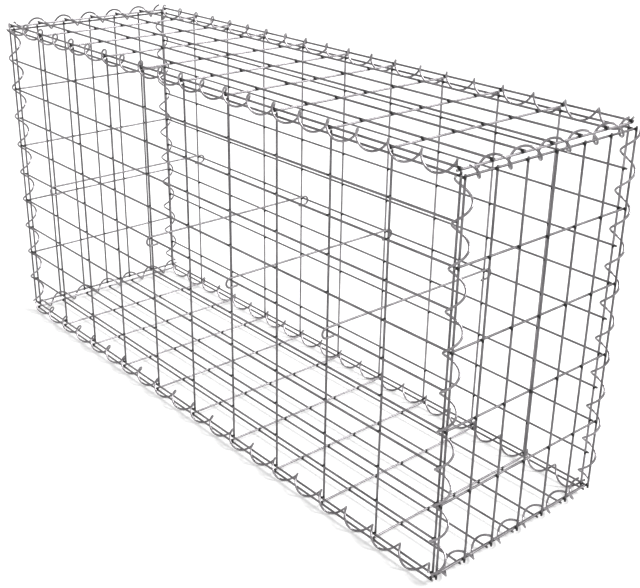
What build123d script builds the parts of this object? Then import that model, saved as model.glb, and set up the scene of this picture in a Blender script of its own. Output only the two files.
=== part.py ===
from build123d import *
from math import cos, pi, radians, sin, sqrt
import os

# Stone basket of welded wire mesh, millimetres. X runs along the basket, the front faces -Y,
# +Z is up, and the origin is on the ground under the middle of the basket.

# Mesh panels, measured between the axes of their outermost wires
length = 1000.0
depth = 300.0
height = 500.0
row_pitch = 50.0  # about, between the close-set wires on the outside of each panel
cross_pitch = 100.0  # about, between the wide-set wires on the inside
mesh_wire = 3.0  # diameter
stub = 4.0  # a cut wire end runs this far past the axis of the last wire that it crosses
seam = 7.5  # from the mid-plane of the ends, lid or base to the last wire of the panel beside it
inset = 2.0  # the front and back stand this far inside the edges of the ends, lid and base

# Spirals that lace the panels together
spiral_wire = 3.0  # diameter
spiral_radius = 10.0  # axis of the wire
spiral_runs = 6  # straight runs per turn
turns_per_cross = 2  # along the front and back; elsewhere one turn goes with each row
front_shift = 2.5  # each spiral leans off the middle of its two edge wires until it rests on them
corner_shift = 2.0
end_shift = 2.7
front_phase = 6.0  # a crest stands this far before an upright of the front
corner_phase = 8.5  # the turn beside a row of the front passes this far under it
back_corner_angle = 45.0  # where the spiral of the back right corner stands at the lowest row
end_spiral_gap = 4.0  # from the last uprights of the ends to the cut ends of their spirals
corner_spiral_foot = 5.0  # above the lowest row

# Cross ties, whose ends hook over a row of the front and back
tie_wire = 3.0  # diameter
tie_shares = (0.1, 0.4, 0.6, 0.8)  # of the length, each moved to the nearest upright
tie_level = 0.5  # of the height, moved to the nearest row
hook_radius = 7.0
hook_start = 1.0  # the bend starts this far outside the row
hook_tail = 12.0  # back under the row
clearance = 0.3  # between wires that rest on each other

# A bar has the section of the round wire that it stands for: hexagons in the mesh, which is
# bars fused where they cross, and squares in the spirals and ties.
bar = mesh_wire * sqrt(pi / (2 * sqrt(3)))  # across flats
bar_radius = bar / sqrt(3)  # across corners, halved
spiral_bar = spiral_wire * sqrt(pi) / 2
tie_bar = tie_wire * sqrt(pi) / 2
outer = bar / 2  # axis of the outer wires, off the panel's mid-plane
turn_radius = spiral_radius / cos(pi / (2 * spiral_runs))

# Axes of the wires at the panels' edges, in the frame of the front's lowest row
front_plane = depth / 2 - inset
end_plane = length / 2 + seam
front_row_y = -(front_plane + outer)
front_upright_y = -(front_plane - outer)
end_upright_x = end_plane + outer
end_row_x = end_plane - outer
lid_row_z = height + seam + outer
lid_cross_z = height + seam - outer
base_row_z = -seam - outer
base_cross_z = -seam + outer


def spacing(span, pitch):
    """Even spacing, as near to the pitch as fills the span between two edge wires."""
    return span / round(span / pitch)


upright_spacing = spacing(length, cross_pitch)
front_row_spacing = spacing(height, row_pitch)
end_upright_spacing = spacing(depth, row_pitch)


def mesh_panel(face, row_length, cross_length):
    """Welded mesh on a face plane: rows along its x on the outside, cross wires inside."""
    row_start = Plane(
        origin=face.from_local_coords((-row_length / 2 - stub, 0, outer)),
        x_dir=face.y_dir,
        z_dir=face.x_dir,
    )
    cross_start = Plane(
        origin=face.from_local_coords((0, -cross_length / 2 - stub, -outer)),
        x_dir=-face.x_dir,
        z_dir=face.y_dir,
    )
    row_gap = spacing(cross_length, row_pitch)
    cross_gap = spacing(row_length, cross_pitch)
    with BuildPart() as panel:
        with BuildSketch(row_start):
            with GridLocations(row_gap, 0, round(cross_length / row_gap) + 1, 1):
                RegularPolygon(bar / 2, 6, major_radius=False)
        extrude(amount=row_length + 2 * stub)
        with BuildSketch(cross_start):
            with GridLocations(cross_gap, 0, round(row_length / cross_gap) + 1, 1):
                RegularPolygon(bar / 2, 6, major_radius=False)
        extrude(amount=cross_length + 2 * stub)
    return panel.part


def spiral(axis, pitch, first, last, angle):
    """Right-handed spiral round a plane's z axis, at the given angle where z is 0."""
    run = pitch / spiral_runs
    count = int(round((last - first) / run, 3))
    with BuildPart() as coil:
        with BuildLine(axis) as path:
            Polyline(
                *[
                    (
                        turn_radius * cos(radians(angle) + 2 * pi * z / pitch),
                        turn_radius * sin(radians(angle) + 2 * pi * z / pitch),
                        z,
                    )
                    for z in (first + run * k for k in range(count + 1))
                ]
            )
        with BuildSketch(Plane(origin=path.line @ 0, z_dir=path.line % 0)):
            Rectangle(spiral_bar, spiral_bar)
        sweep(transition=Transition.RIGHT)
    return coil.part


def laced(direction, one, other, shift):
    """Middle of two edge wires, moved square to the line from one to the other."""
    between = Vector(*other) - Vector(*one)
    return (Vector(*one) + Vector(*other)) / 2 + direction.cross(between).normalized() * shift


def cross_tie(share):
    """Wire from front to back beside an upright, with a hook over the row at each end."""
    upright = upright_spacing * round(length * share / upright_spacing)
    row = front_row_spacing * round(height * tie_level / front_row_spacing)
    x = -length / 2 + upright + bar_radius + clearance + tie_bar / 2
    hook_y = -front_row_y + hook_start
    hook_z = row + bar_radius + clearance + tie_bar / 2 - hook_radius
    hook = [
        (x, hook_y + hook_radius * cos(radians(turn)), hook_z + hook_radius * sin(radians(turn)))
        for turn in (90, 30, -30, -90)
    ]
    hook.append((x, hook_y - hook_tail, hook_z - hook_radius))
    with BuildPart() as tie:
        with BuildLine() as path:
            Polyline(*[(px, -py, pz) for px, py, pz in reversed(hook)], *hook)
        with BuildSketch(Plane(origin=path.line @ 0, z_dir=path.line % 0)):
            Rectangle(tie_bar, tie_bar)
        sweep(transition=Transition.RIGHT)
    return tie.part


along = Vector(1, 0, 0)
inward = Vector(0, 1, 0)
upward = Vector(0, 0, 1)
pieces = {}

# The six panels
front_face = Plane(origin=(0, -front_plane, height / 2), x_dir=along, z_dir=-inward)
end_face = Plane(origin=(end_plane, 0, height / 2), x_dir=upward, z_dir=along)
lid_face = Plane(origin=(0, 0, height + seam), x_dir=along, z_dir=upward)
base_face = Plane(origin=(0, 0, -seam), x_dir=along, z_dir=-upward)
pieces["front_panel"] = mesh_panel(front_face, length, height)
pieces["back_panel"] = pieces["front_panel"].rotate(Axis.Z, 180)
pieces["right_end_panel"] = mesh_panel(end_face, height, depth)
pieces["left_end_panel"] = pieces["right_end_panel"].rotate(Axis.Z, 180)
pieces["lid_panel"] = mesh_panel(lid_face, length, depth)
pieces["base_panel"] = mesh_panel(base_face, length, depth)

# The spirals along the long edges, from end to end, with their crests beside the uprights
left = -length / 2
long_pitch = upright_spacing / turns_per_cross
long_angle = 90 + 360 * front_phase / long_pitch
front_top = laced(along, (left, -depth / 2, lid_row_z), (left, front_row_y, height), front_shift)
front_bottom = laced(along, (left, front_row_y, 0), (left, -depth / 2, base_row_z), front_shift)
for level, centre in (("top", front_top), ("bottom", front_bottom)):
    axis = Plane(origin=centre, x_dir=inward, z_dir=along)
    coil = spiral(axis, long_pitch, 0, length, long_angle)
    pieces[f"front_{level}_spiral"] = coil
    pieces[f"back_{level}_spiral"] = coil.rotate(Axis.Z, 180)

# The spirals along the short edges, with a crest over each upright
near = -depth / 2
end_top = laced(inward, (end_row_x, near, height), (length / 2, near, lid_cross_z), end_shift)
end_bottom = laced(inward, (end_row_x, near, 0), (length / 2, near, base_cross_z), end_shift)
for level, centre in (("top", end_top), ("bottom", end_bottom)):
    axis = Plane(origin=centre, x_dir=upward, z_dir=inward)
    coil = spiral(axis, end_upright_spacing, end_spiral_gap, depth - end_spiral_gap, 0)
    pieces[f"right_{level}_spiral"] = coil
    pieces[f"left_{level}_spiral"] = coil.rotate(Axis.Z, 180)

# The spirals up the four corners
front_upright = (length / 2, front_upright_y, 0)
back_upright = (length / 2, -front_upright_y, 0)
front_corner = laced(upward, front_upright, (end_upright_x, -depth / 2, 0), corner_shift)
back_corner = laced(upward, (end_upright_x, depth / 2, 0), back_upright, corner_shift)
front_angle = 180 + 360 * corner_phase / front_row_spacing
for corner, opposite, centre, angle in (
    ("front_right", "back_left", front_corner, front_angle),
    ("back_right", "front_left", back_corner, back_corner_angle),
):
    axis = Plane(origin=centre, x_dir=along, z_dir=upward)
    coil = spiral(axis, front_row_spacing, corner_spiral_foot, height, angle)
    pieces[f"{corner}_spiral"] = coil
    pieces[f"{opposite}_spiral"] = coil.rotate(Axis.Z, 180)

# The cross ties, numbered from the left
for number, share in enumerate(tie_shares, start=1):
    pieces[f"cross_tie_{number}"] = cross_tie(share)

# The basket rests on the lowest turns of its long bottom spirals
ground = pieces["front_bottom_spiral"].bounding_box().min.Z
os.makedirs("parts", exist_ok=True)
for name, piece in pieces.items():
    standing = piece.moved(Location((0, 0, -ground)))
    standing.label = name
    export_step(standing, f"parts/{name}.step")
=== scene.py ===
from math import cos, pi, radians, sin

import bmesh
import bpy
from mathutils import Matrix, Vector


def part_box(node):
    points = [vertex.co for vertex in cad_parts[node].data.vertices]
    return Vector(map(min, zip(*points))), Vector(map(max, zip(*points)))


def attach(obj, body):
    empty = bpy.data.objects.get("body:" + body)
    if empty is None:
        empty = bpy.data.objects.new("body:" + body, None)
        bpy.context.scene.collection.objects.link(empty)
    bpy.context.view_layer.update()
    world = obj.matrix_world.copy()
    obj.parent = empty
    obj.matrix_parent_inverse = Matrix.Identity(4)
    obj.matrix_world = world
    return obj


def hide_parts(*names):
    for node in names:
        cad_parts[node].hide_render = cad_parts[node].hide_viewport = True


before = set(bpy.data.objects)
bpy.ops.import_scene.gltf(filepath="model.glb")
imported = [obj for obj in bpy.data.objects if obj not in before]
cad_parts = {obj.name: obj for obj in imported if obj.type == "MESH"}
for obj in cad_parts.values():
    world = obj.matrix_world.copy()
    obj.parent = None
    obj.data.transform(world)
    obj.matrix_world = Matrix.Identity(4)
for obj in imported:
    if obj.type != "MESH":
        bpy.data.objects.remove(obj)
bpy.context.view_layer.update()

# The six mesh panels are drawn steel wires, 3 mm thick and zinc coated. Close-set wires lie
# on the outside and wide-set ones inside, and each crossing is a resistance weld, where the
# wires sink into each other and squeeze out a little metal. Each crossing is near-black,
# partly zinc burnt by the weld and partly painted shade where the wires meet.

MESH_WIRE = 0.003
FLAT_OF_BAR = 0.001428  # from the axis of a wire to the face of its panel's box
STUB = 0.004  # a cut end stands this far past the last crossing
ROW_PITCH = 0.05
CROSS_PITCH = 0.1
PANEL_THICKNESS = 0.02  # more than the two layers of wire
MID_HEIGHT = 0.25  # the lid lies above this and the base below
WIRE_SIDES = 12
CUT_BURR = 0.0004  # width of the rounded edge of a cut end
SHARP_ANGLE = 50.0
OUTER, WELDED, CUT, INNER = range(4)  # the places of a panel's materials
WELD_WIDTH = 0.0022  # half the width of the metal squeezed out at a crossing
WELD_DEPTH = 0.0016
WELD_SIDES = 8
WELD_RINGS = 5
BURN_AND_SHADE_CORE = 0.0015  # near-black this far from a weld: partly burnt zinc, partly painted shade
BURN_AND_SHADE_FADE = 0.003  # and darkened as far as this
BURN_AND_SHADE_RINGS = ((-BURN_AND_SHADE_FADE, 0), (-BURN_AND_SHADE_CORE, 1), (BURN_AND_SHADE_CORE, 1), (BURN_AND_SHADE_FADE, 0))

PATCHES_PER_METRE = 25
SPANGLES_PER_METRE = 700
GRAINS_PER_METRE = 1800
PATCH_EDGES = (0.35, 0.65)  # where the noise turns from bright to dull
PATCH_SHARE = 0.8  # of the change from bright to dull, beside that of the spangles
PATCH_OFFSET = -0.05
SPANGLE_SHARE = 0.2
GRAIN_RELIEF = 0.4  # of the relief of the spangles
COAT_RELIEF = 0.0002  # metres, for the bump

MESH_BRIGHT = (0.21, 0.2, 0.21, 1)  # most of the mesh
MESH_DULL = (0.115, 0.109, 0.115, 1)
PAINTED_LIGHTER_BRIGHT = (0.36, 0.342, 0.36, 1)  # painted light: lighter for the back's uprights and the wires across the lid and base
PAINTED_LIGHTER_DULL = (0.2, 0.19, 0.2, 1)
# Near-black at the welds: partly zinc burnt by the weld, partly painted shade where the wires
# cross.
BURNT_AND_SHADED_ZINC = (0.01, 0.01, 0.01, 1)
SOOTED_AND_SHADED_ZINC = (0.04, 0.039, 0.04, 1)
CUT_STEEL = (0.3, 0.3, 0.3, 1)
RUSTED_STEEL = (0.13, 0.12, 0.11, 1)

dip = bpy.data.node_groups.new("hot dip galvanising", "ShaderNodeTree")
for label, kind in (
    ("Bright", "NodeSocketColor"),
    ("Dull", "NodeSocketColor"),
    ("Patches per Metre", "NodeSocketFloat"),
    ("Spangles per Metre", "NodeSocketFloat"),
    ("Lowest Roughness", "NodeSocketFloat"),
    ("Highest Roughness", "NodeSocketFloat"),
):
    dip.interface.new_socket(label, in_out="INPUT", socket_type=kind)
for label, kind in (
    ("Colour", "NodeSocketColor"),
    ("Roughness", "NodeSocketFloat"),
    ("Height", "NodeSocketFloat"),
):
    dip.interface.new_socket(label, in_out="OUTPUT", socket_type=kind)


def add(tree, kind, at, **settings):
    """One node in a tree, with its settings."""
    node = tree.nodes.new(kind)
    node.location = at
    for name, value in settings.items():
        setattr(node, name, value)
    return node


def join(tree, source, output, target, entry):
    """Link an output to an input by their names."""
    tree.links.new(source.outputs[output], target.inputs[entry])


given = add(dip, "NodeGroupInput", (-1100, 0))
put_out = add(dip, "NodeGroupOutput", (700, 0))
where = add(dip, "ShaderNodeTexCoord", (-1100, 300))
patches = add(dip, "ShaderNodeTexNoise", (-800, 300))
patches.inputs["Detail"].default_value = 4
patches.inputs["Roughness"].default_value = 0.6
join(dip, where, "Object", patches, "Vector")
join(dip, given, "Patches per Metre", patches, "Scale")
spangles = add(dip, "ShaderNodeTexVoronoi", (-800, 0))
join(dip, where, "Object", spangles, "Vector")
join(dip, given, "Spangles per Metre", spangles, "Scale")
grain = add(dip, "ShaderNodeTexNoise", (-800, -300))
grain.inputs["Scale"].default_value = GRAINS_PER_METRE
grain.inputs["Detail"].default_value = 3
join(dip, where, "Object", grain, "Vector")
spread = add(dip, "ShaderNodeMapRange", (-550, 300))
spread.inputs["From Min"].default_value = PATCH_EDGES[0]
spread.inputs["From Max"].default_value = PATCH_EDGES[1]
join(dip, patches, "Fac", spread, "Value")
flecks = add(dip, "ShaderNodeSeparateColor", (-550, 0))
join(dip, spangles, "Color", flecks, "Color")
mixed = add(dip, "ShaderNodeMath", (-300, 200), operation="MULTIPLY_ADD")
mixed.inputs[1].default_value = SPANGLE_SHARE
join(dip, flecks, "Red", mixed, 0)
lowered = add(dip, "ShaderNodeMath", (-300, 400), operation="MULTIPLY_ADD")
lowered.inputs[1].default_value = PATCH_SHARE
lowered.inputs[2].default_value = PATCH_OFFSET
join(dip, spread, "Result", lowered, 0)
join(dip, lowered, "Value", mixed, 2)
bright_to_dull = add(dip, "ShaderNodeMix", (0, 200), data_type="RGBA")
join(dip, mixed, "Value", bright_to_dull, "Factor")
dip.links.new(given.outputs["Bright"], bright_to_dull.inputs[6])
dip.links.new(given.outputs["Dull"], bright_to_dull.inputs[7])
dip.links.new(bright_to_dull.outputs[2], put_out.inputs["Colour"])
matt = add(dip, "ShaderNodeMapRange", (0, -50))
join(dip, mixed, "Value", matt, "Value")
join(dip, given, "Lowest Roughness", matt, "To Min")
join(dip, given, "Highest Roughness", matt, "To Max")
join(dip, matt, "Result", put_out, "Roughness")
relief = add(dip, "ShaderNodeMath", (0, -300), operation="MULTIPLY_ADD")
relief.inputs[1].default_value = GRAIN_RELIEF
join(dip, grain, "Fac", relief, 0)
join(dip, flecks, "Green", relief, 2)
join(dip, relief, "Value", put_out, "Height")


def coated(name, bright, dull, metallic, roughness, patches_per_metre, bump):
    """A zinc-coated wire's material, with its patches, spangles and grain."""
    material = bpy.data.materials.new(name)
    material.use_nodes = True
    tree = material.node_tree
    shader = tree.nodes["Principled BSDF"]
    shader.inputs["Metallic"].default_value = metallic
    coat = add(tree, "ShaderNodeGroup", (-600, 0), node_tree=dip)
    coat.inputs["Bright"].default_value = bright
    coat.inputs["Dull"].default_value = dull
    coat.inputs["Patches per Metre"].default_value = patches_per_metre
    coat.inputs["Spangles per Metre"].default_value = SPANGLES_PER_METRE
    coat.inputs["Lowest Roughness"].default_value = roughness[0]
    coat.inputs["Highest Roughness"].default_value = roughness[1]
    bumped = add(tree, "ShaderNodeBump", (-250, -200))
    bumped.inputs["Strength"].default_value = bump
    bumped.inputs["Distance"].default_value = COAT_RELIEF
    join(tree, coat, "Colour", shader, "Base Color")
    join(tree, coat, "Roughness", shader, "Roughness")
    join(tree, coat, "Height", bumped, "Height")
    join(tree, bumped, "Normal", shader, "Normal")
    return material


mesh_zinc = coated(
    "plain mesh zinc",
    MESH_BRIGHT,
    MESH_DULL,
    metallic=0.85,
    roughness=(0.38, 0.52),
    patches_per_metre=PATCHES_PER_METRE,
    bump=0.25,
)
# A lighter copy of the mesh zinc, painted light on the wires that look lit: the back's uprights
# and the wires across the lid and base.
painted_lighter_zinc = coated(
    "mesh zinc painted lighter",
    PAINTED_LIGHTER_BRIGHT,
    PAINTED_LIGHTER_DULL,
    metallic=0.85,
    roughness=(0.38, 0.52),
    patches_per_metre=PATCHES_PER_METRE,
    bump=0.25,
)
for zinc in (mesh_zinc, painted_lighter_zinc):
    tree = zinc.node_tree
    # Each wire darkens towards the sooted colour near a weld: partly heat discolouring, partly
    # painted shade of the crossing.
    heat_and_shade = add(tree, "ShaderNodeAttribute", (-900, 300), attribute_name="burn_and_shade")
    scorched_and_shaded = add(tree, "ShaderNodeMix", (-250, 200), data_type="RGBA")
    join(tree, heat_and_shade, "Fac", scorched_and_shaded, "Factor")
    tree.links.new(tree.nodes["Group"].outputs["Colour"], scorched_and_shaded.inputs[6])
    scorched_and_shaded.inputs[7].default_value = SOOTED_AND_SHADED_ZINC
    tree.links.new(scorched_and_shaded.outputs[2], tree.nodes["Principled BSDF"].inputs["Base Color"])
# The metal squeezed out at a weld is near-black: partly burnt, partly painted shade of the
# crossing.
weld_burn_and_shade = coated(
    "burnt and shaded weld",
    SOOTED_AND_SHADED_ZINC,
    BURNT_AND_SHADED_ZINC,
    metallic=0.2,
    roughness=(0.6, 0.85),
    patches_per_metre=400,
    bump=0.6,
)
cut_end = coated(
    "cut wire end",
    CUT_STEEL,
    RUSTED_STEEL,
    metallic=0.6,
    roughness=(0.4, 0.7),
    patches_per_metre=300,
    bump=0.5,
)


def straight_wire(direction, length, thickness, welds, coat):
    """A round wire with a dark ring at each weld, partly burnt zinc and partly painted shade,
    closed by its two sheared ends.
    """
    metal = bmesh.new()
    burn_and_shade = metal.verts.layers.float.new("burn_and_shade")
    turned = direction.to_track_quat("Z", "Y").to_matrix().to_4x4()
    start = bmesh.ops.create_circle(
        metal,
        cap_ends=True,
        segments=WIRE_SIDES,
        radius=thickness / 2,
        matrix=Matrix.Translation(-direction * length / 2) @ turned,
    )
    ends = [start["verts"][0].link_faces[0]]
    edges = list({e for v in start["verts"] for e in v.link_edges})
    at = -length / 2
    stops = [(w + reach, burnt_and_shaded) for w in welds for reach, burnt_and_shaded in BURN_AND_SHADE_RINGS]
    for stop, burnt_and_shaded in [*stops, (length / 2, 0)]:
        made = bmesh.ops.extrude_edge_only(metal, edges=edges)["geom"]
        ring = [g for g in made if isinstance(g, bmesh.types.BMVert)]
        bmesh.ops.translate(metal, verts=ring, vec=direction * (stop - at))
        for vert in ring:
            vert[burn_and_shade] = burnt_and_shaded
        edges = [g for g in made if isinstance(g, bmesh.types.BMEdge) and g.is_boundary]
        at = stop
    ends += bmesh.ops.edgeloop_fill(metal, edges=edges)["faces"]
    for face in metal.faces:
        face.material_index = CUT if face in ends else coat
    bmesh.ops.bevel(
        metal,
        geom=[e for end in ends for e in end.edges],
        offset=CUT_BURR,
        offset_type="OFFSET",
        affect="EDGES",
        segments=1,
        profile=0.5,
        material=-1,
    )
    return metal


def weld(outward):
    """Metal squeezed out between two crossing wires."""
    metal = bmesh.new()
    metal.verts.layers.float.new("burn_and_shade")
    turned = outward.to_track_quat("Z", "Y").to_matrix().to_4x4()
    flattened = Matrix.Diagonal((WELD_WIDTH, WELD_WIDTH, WELD_DEPTH, 1))
    bmesh.ops.create_uvsphere(
        metal,
        u_segments=WELD_SIDES,
        v_segments=WELD_RINGS,
        radius=1,
        matrix=turned @ flattened,
    )
    for face in metal.faces:
        face.material_index = WELDED
    return metal


def side_by_side(pattern, first, step, count):
    """The same piece laid down again and again, one step from the last."""
    laid = bmesh.new()
    laid.verts.layers.float.new("burn_and_shade")
    shape = bpy.data.meshes.new("pattern")
    pattern.to_mesh(shape)
    pattern.free()
    shape.transform(Matrix.Translation(first))
    for _ in range(count):
        laid.from_mesh(shape)
        shape.transform(Matrix.Translation(step))
    bpy.data.meshes.remove(shape)
    return laid


def together(*parts):
    """Several patterns in one mesh."""
    whole = bmesh.new()
    whole.verts.layers.float.new("burn_and_shade")
    for part in parts:
        shape = bpy.data.meshes.new("pattern")
        part.to_mesh(shape)
        part.free()
        whole.from_mesh(shape)
        bpy.data.meshes.remove(shape)
    return whole


def rounded(name, metal, materials, node):
    """The finished piece in its CAD node's place."""
    bmesh.ops.recalc_face_normals(metal, faces=metal.faces[:])
    mesh = bpy.data.meshes.new(name)
    metal.to_mesh(mesh)
    metal.free()
    mesh.shade_smooth()
    mesh.set_sharp_from_angle(angle=radians(SHARP_ANGLE))
    for material in materials:
        mesh.materials.append(material)
    piece = bpy.data.objects.new(name, mesh)
    bpy.context.scene.collection.objects.link(piece)
    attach(piece, "root")
    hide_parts(node)
    return piece


def evenly(first, last, pitch):
    """Places from one edge wire to the other, spaced as near to the pitch as fills it."""
    count = round((last - first) / pitch)
    return [first + (last - first) * n / count for n in range(count + 1)]


def welded_panel(node, along, across, outer_zinc, inner_zinc):
    """Outer wires along the panel, inner wires across it and a weld at each crossing."""
    low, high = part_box(node)
    middle = (low + high) / 2
    size = high - low
    outward = Vector([1 if s < PANEL_THICKNESS else 0 for s in size])
    if middle.dot(outward) < (MID_HEIGHT if outward.z else 0):
        outward = -outward
    reach = abs(size.dot(along)) / 2
    width = abs(size.dot(across)) / 2
    rows = evenly(STUB - width, width - STUB, ROW_PITCH)
    crosses = evenly(STUB - reach, reach - STUB, CROSS_PITCH)
    up_a_row = across * (rows[1] - rows[0])
    on_a_cross = along * (crosses[1] - crosses[0])
    corner = middle + across * rows[0] + along * crosses[0]
    row_wires = side_by_side(
        straight_wire(along, 2 * reach, MESH_WIRE, crosses, OUTER),
        middle + across * rows[0] + outward * FLAT_OF_BAR,
        up_a_row,
        len(rows),
    )
    cross_wires = side_by_side(
        straight_wire(across, 2 * width, MESH_WIRE, rows, INNER),
        middle + along * crosses[0] - outward * FLAT_OF_BAR,
        on_a_cross,
        len(crosses),
    )
    row_of_welds = side_by_side(weld(outward), corner, on_a_cross, len(crosses))
    welds = side_by_side(row_of_welds, Vector((0, 0, 0)), up_a_row, len(rows))
    metal = together(row_wires, cross_wires, welds)
    materials = (outer_zinc, weld_burn_and_shade, cut_end, inner_zinc)
    return rounded(f"{node}_wires", metal, materials, node)


EAST = Vector((1, 0, 0))
NORTH = Vector((0, 1, 0))
UP = Vector((0, 0, 1))
# The lighter copy paints light on the back's uprights and on the wires across the lid and base.
welded_panel("front_panel", EAST, UP, mesh_zinc, mesh_zinc)
welded_panel("back_panel", EAST, UP, mesh_zinc, painted_lighter_zinc)
for node in ("left_end_panel", "right_end_panel"):
    welded_panel(node, UP, NORTH, mesh_zinc, mesh_zinc)
for node in ("lid_panel", "base_panel"):
    welded_panel(node, EAST, NORTH, mesh_zinc, painted_lighter_zinc)


# Twelve spirals of the same wire, wound right-handed on a mandrel and screwed through the
# edges of two panels, so that each turn takes in both edge wires and rests on them. They are
# newer and brighter than the mesh, and cut off at the corners.

SPIRAL_WIRE = 0.003
SPIRAL_RADIUS = 0.01
SPIRAL_SIDES = 12
STEPS_PER_TURN = 32
TURN = 0.05  # from one turn to the next: a close-set cell
LONG_LEAN = 0.0025  # off the middle of the two edge wires, until the turns rest on them
END_LEAN = 0.0027
CORNER_LEAN = 0.002
CREST_BEFORE_UPRIGHT = 0.006
TURN_UNDER_ROW = 0.0085
BACK_CORNER_START = 45.0  # degrees from the end's outside, at the lowest row
END_GAP = 0.004  # from the last uprights of the ends to the cuts of their spirals
CORNER_FOOT = 0.005  # above the lowest row

SPIRAL_BRIGHT = (0.34, 0.323, 0.34, 1)
SPIRAL_DULL = (0.12, 0.114, 0.12, 1)
spiral_zinc = coated(
    "spiral wire zinc",
    SPIRAL_BRIGHT,
    SPIRAL_DULL,
    metallic=1.0,
    roughness=(0.14, 0.24),
    patches_per_metre=40,
    bump=0.03,
)


def laced(direction, one, other, lean):
    """Middle of two edge wires, moved square to the line between them."""
    between = Vector(other) - Vector(one)
    return (Vector(one) + Vector(other)) / 2 + direction.cross(between).normalized() * lean


def open_end(made):
    """The open ring at the end of what an operator has just made."""
    return [g for g in made if isinstance(g, bmesh.types.BMEdge) and g.is_boundary]


def cut_off(metal):
    """Close the two ends of a wire with cut steel, its second material."""
    cuts = bmesh.ops.holes_fill(metal, edges=open_end(metal.edges), sides=0)
    for cut in cuts["faces"]:
        cut.material_index = 1


def wound(metal, centre, direction, zero, first, last, angle):
    """A round wire turning about a line, from one height along it to another."""
    sideways = direction.cross(zero)
    start = radians(angle) + 2 * pi * first / TURN
    radial = zero * cos(start) + sideways * sin(start)
    tangent = direction.cross(radial) * 2 * pi * SPIRAL_RADIUS + direction * TURN
    ring = bmesh.ops.create_circle(
        metal,
        segments=SPIRAL_SIDES,
        radius=SPIRAL_WIRE / 2,
        matrix=Matrix.Translation(centre + direction * first + radial * SPIRAL_RADIUS)
        @ tangent.to_track_quat("Z", "Y").to_matrix().to_4x4(),
    )
    edges = {e for v in ring["verts"] for e in v.link_edges}
    turns = (last - first) / TURN
    steps = round(turns * STEPS_PER_TURN)
    bmesh.ops.spin(
        metal,
        geom=list(ring["verts"]) + list(edges),
        cent=centre,
        axis=direction,
        dvec=direction * (last - first) / steps,
        angle=2 * pi * turns,
        steps=steps,
    )
    cut_off(metal)


def spiral(pair, centre, direction, zero, first, last, angle):
    """One spiral and, half a turn about the basket's middle away, the one opposite it."""
    for name, turned in zip(pair, (Matrix.Identity(3), Matrix.Rotation(pi, 3, "Z"))):
        metal = bmesh.new()
        wound(metal, centre, direction, zero, first, last, angle)
        bmesh.ops.rotate(metal, cent=(0, 0, 0), matrix=turned, verts=metal.verts[:])
        rounded(f"{name}_wire", metal, (spiral_zinc, cut_end), name)


front_low, front_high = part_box("front_panel")
right_low, right_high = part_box("right_end_panel")
lid_low, lid_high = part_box("lid_panel")
base_low, base_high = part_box("base_panel")
left = front_low.x + STUB
near = lid_low.y + STUB
floor_row = front_low.z + STUB
top_row = front_high.z - STUB
front_row = front_low.y + FLAT_OF_BAR
front_upright = front_high.y - FLAT_OF_BAR
end_row = right_low.x + FLAT_OF_BAR
end_upright = right_high.x - FLAT_OF_BAR

long_top = laced(
    EAST,
    (left, near, lid_high.z - FLAT_OF_BAR),
    (left, front_row, top_row),
    LONG_LEAN,
)
long_bottom = laced(
    EAST,
    (left, front_row, floor_row),
    (left, near, base_low.z + FLAT_OF_BAR),
    LONG_LEAN,
)
crest = 90 + 360 * CREST_BEFORE_UPRIGHT / TURN
for level, centre in (("top", long_top), ("bottom", long_bottom)):
    pair = (f"front_{level}_spiral", f"back_{level}_spiral")
    spiral(pair, centre, EAST, NORTH, 0, -2 * left, crest)

end_top = laced(
    NORTH,
    (end_row, near, top_row),
    (-left, near, lid_low.z + FLAT_OF_BAR),
    END_LEAN,
)
end_bottom = laced(
    NORTH,
    (end_row, near, floor_row),
    (-left, near, base_high.z - FLAT_OF_BAR),
    END_LEAN,
)
for level, centre in (("top", end_top), ("bottom", end_bottom)):
    pair = (f"right_{level}_spiral", f"left_{level}_spiral")
    spiral(pair, centre, NORTH, UP, END_GAP, -2 * near - END_GAP, 0)

front_corner = laced(
    UP,
    (-left, front_upright, floor_row),
    (end_upright, near, floor_row),
    CORNER_LEAN,
)
back_corner = laced(
    UP,
    (end_upright, -near, floor_row),
    (-left, -front_upright, floor_row),
    CORNER_LEAN,
)
wall = top_row - floor_row
front_start = 180 + 360 * TURN_UNDER_ROW / TURN
spiral(
    ("front_right_spiral", "back_left_spiral"),
    front_corner,
    UP,
    EAST,
    CORNER_FOOT,
    wall,
    front_start,
)
spiral(
    ("back_right_spiral", "front_left_spiral"),
    back_corner,
    UP,
    EAST,
    CORNER_FOOT,
    wall,
    BACK_CORNER_START,
)


# Four cross ties of the same wire keep the front and back from bulging when the basket is
# filled. Each lies on a row of both, beside an upright, and is bent round the row by hand
# into an open hook at each end.

TIE_WIRE = 0.003
TIE_SIDES = 12
HOOK_RADIUS = 0.007
HOOK_OUTSIDE_ROW = 0.001  # where the bend starts
HOOK_TAIL = 0.012
HOOK_STEPS = 16
HALF_TIE_BAR = 0.00133  # from the axis of a tie to the face of its box
TIES = 4

TIE_BRIGHT = (0.26, 0.247, 0.26, 1)
TIE_DULL = (0.17, 0.162, 0.17, 1)
tie_zinc = coated(
    "tie wire zinc",
    TIE_BRIGHT,
    TIE_DULL,
    metallic=0.8,
    roughness=(0.42, 0.56),
    patches_per_metre=30,
    bump=0.25,
)


def drawn_on(metal, edges, way):
    """Carry the open end of a wire straight on."""
    made = bmesh.ops.extrude_edge_only(metal, edges=edges)["geom"]
    verts = [g for g in made if isinstance(g, bmesh.types.BMVert)]
    bmesh.ops.translate(metal, verts=verts, vec=way)
    return open_end(made)


def bent(metal, edges, centre, axis, angle, steps):
    """Bend the wire on round a pin."""
    verts = {v for e in edges for v in e.verts}
    made = bmesh.ops.spin(
        metal,
        geom=list(verts) + edges,
        cent=centre,
        axis=axis,
        angle=angle,
        steps=steps,
    )
    return open_end(made["geom_last"])


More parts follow.
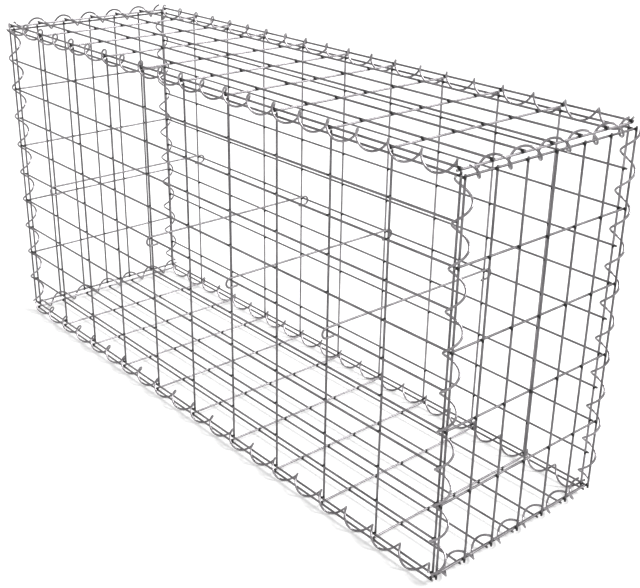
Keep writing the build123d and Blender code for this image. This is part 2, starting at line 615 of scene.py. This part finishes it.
for number in range(1, TIES + 1):
    node = f"cross_tie_{number}"
    low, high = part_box(node)
    x = (low.x + high.x) / 2
    level = high.z - HALF_TIE_BAR
    hook_y = front_row - HOOK_OUTSIDE_ROW
    front_pin = Vector((x, hook_y, level - HOOK_RADIUS))
    back_pin = Vector((x, -hook_y, level - HOOK_RADIUS))
    metal = bmesh.new()
    ring = bmesh.ops.create_circle(
        metal,
        segments=TIE_SIDES,
        radius=TIE_WIRE / 2,
        matrix=Matrix.Translation(front_pin + Vector((0, HOOK_TAIL, -HOOK_RADIUS)))
        @ NORTH.to_track_quat("Z", "Y").to_matrix().to_4x4(),
    )
    end = list({e for v in ring["verts"] for e in v.link_edges})
    end = drawn_on(metal, end, (0, -HOOK_TAIL, 0))
    end = bent(metal, end, front_pin, EAST, -pi, HOOK_STEPS)
    end = drawn_on(metal, end, (0, -2 * hook_y, 0))
    end = bent(metal, end, back_pin, EAST, -pi, HOOK_STEPS)
    drawn_on(metal, end, (0, -HOOK_TAIL, 0))
    cut_off(metal)
    rounded(f"{node}_wire", metal, (tie_zinc, cut_end), node)


# A plain white floor under the basket, and a world as pale as it, so that the background is
# white while the lamps light the wires softly. The floor is lifted a little for the camera
# alone and keeps the basket's shadow.

FLOOR_REACH = 6.0
FLOOR_LIFT = 0.3  # glow that only the camera sees
FLOOR_WHITE = (0.98, 0.98, 0.98, 1)
PURE_WHITE = (1, 1, 1, 1)
SKY_LEVEL = 0.32  # light on the wires; the camera and the gloss see white

sheet = bmesh.new()
bmesh.ops.create_grid(sheet, x_segments=1, y_segments=1, size=FLOOR_REACH)
floor_mesh = bpy.data.meshes.new("floor")
sheet.to_mesh(floor_mesh)
sheet.free()
floor = bpy.data.objects.new("floor", floor_mesh)
bpy.context.scene.collection.objects.link(floor)
paint = bpy.data.materials.new("white floor")
paint.use_nodes = True
tree = paint.node_tree
matt_white = tree.nodes["Principled BSDF"]
matt_white.inputs["Base Color"].default_value = FLOOR_WHITE
matt_white.inputs["Roughness"].default_value = 0.9
matt_white.inputs["Specular IOR Level"].default_value = 0
matt_white.inputs["Emission Color"].default_value = PURE_WHITE
looked_at = add(tree, "ShaderNodeLightPath", (-600, -300))
lift = add(tree, "ShaderNodeMapRange", (-350, -300))
lift.inputs["To Max"].default_value = FLOOR_LIFT
join(tree, looked_at, "Is Camera Ray", lift, "Value")
join(tree, lift, "Result", matt_white, "Emission Strength")
floor_mesh.materials.append(paint)

world = bpy.data.worlds.new("pale studio")
bpy.context.scene.world = world
world.use_nodes = True
sky = world.node_tree
background = sky.nodes["Background"]
background.inputs["Color"].default_value = PURE_WHITE
ray = add(sky, "ShaderNodeLightPath", (-900, 0))
seen = add(sky, "ShaderNodeMath", (-650, 0), operation="MAXIMUM")
join(sky, ray, "Is Camera Ray", seen, 0)
join(sky, ray, "Is Glossy Ray", seen, 1)
shown = add(sky, "ShaderNodeMath", (-450, 0), operation="MAXIMUM")
join(sky, seen, "Value", shown, 0)
join(sky, ray, "Is Transmission Ray", shown, 1)
level = add(sky, "ShaderNodeMapRange", (-250, 0))
level.inputs["To Min"].default_value = SKY_LEVEL
level.inputs["To Max"].default_value = 1.0
join(sky, shown, "Value", level, "Value")
join(sky, level, "Result", background, "Strength")


# Three soft lamps far off: the strongest high behind the basket, so that the wires that run
# from front to back shine, and two weaker ones before it on the left and right.

for name, place, strength, width in (
    ("back lamp", (2.7, 2.15, 3.65), 3.2, 25),
    ("left lamp", (-2.0, -3.0, 4.5), 0.35, 60),
    ("right lamp", (4.0, -1.5, 3.0), 0.25, 60),
):
    light = bpy.data.lights.new(name, "SUN")
    light.energy = strength
    light.angle = radians(width)
    lamp = bpy.data.objects.new(name, light)
    bpy.context.scene.collection.objects.link(lamp)
    lamp.location = place
    lamp.rotation_euler = (-Vector(place)).to_track_quat("-Z", "Y").to_euler()


# The camera stands where the photograph was taken from, to the right of the front and above
# the lid.

IMAGE_WIDTH = 640
IMAGE_HEIGHT = 588
FOCAL_PIXELS = 1067.0
CENTRE_X = 314.9  # the pixel that the lens looks straight at
CENTRE_Y = 279.4
SENSOR_WIDTH = 36.0  # millimetres
CAMERA_PLACE = (1.1899, -0.9405, 0.8482)
CAMERA_RIGHT = (0.6509, 0.75904, 0.01393)
CAMERA_AHEAD = (-0.69325, 0.60175, -0.39661)

lens = bpy.data.cameras.new("camera")
lens.sensor_fit = "HORIZONTAL"
lens.sensor_width = SENSOR_WIDTH
lens.lens = FOCAL_PIXELS * SENSOR_WIDTH / IMAGE_WIDTH
lens.shift_x = (IMAGE_WIDTH / 2 - CENTRE_X) / IMAGE_WIDTH
lens.shift_y = (CENTRE_Y - IMAGE_HEIGHT / 2) / IMAGE_WIDTH
camera = bpy.data.objects.new("camera", lens)
bpy.context.scene.collection.objects.link(camera)
ahead = Vector(CAMERA_AHEAD).normalized()
above = Vector(CAMERA_RIGHT).cross(ahead).normalized()
sideways = ahead.cross(above)
turned = Matrix((sideways, above, -ahead)).transposed()
camera.matrix_world = Matrix.Translation(CAMERA_PLACE) @ turned.to_4x4()
bpy.context.scene.camera = camera
bpy.context.scene.view_settings.view_transform = "Standard"
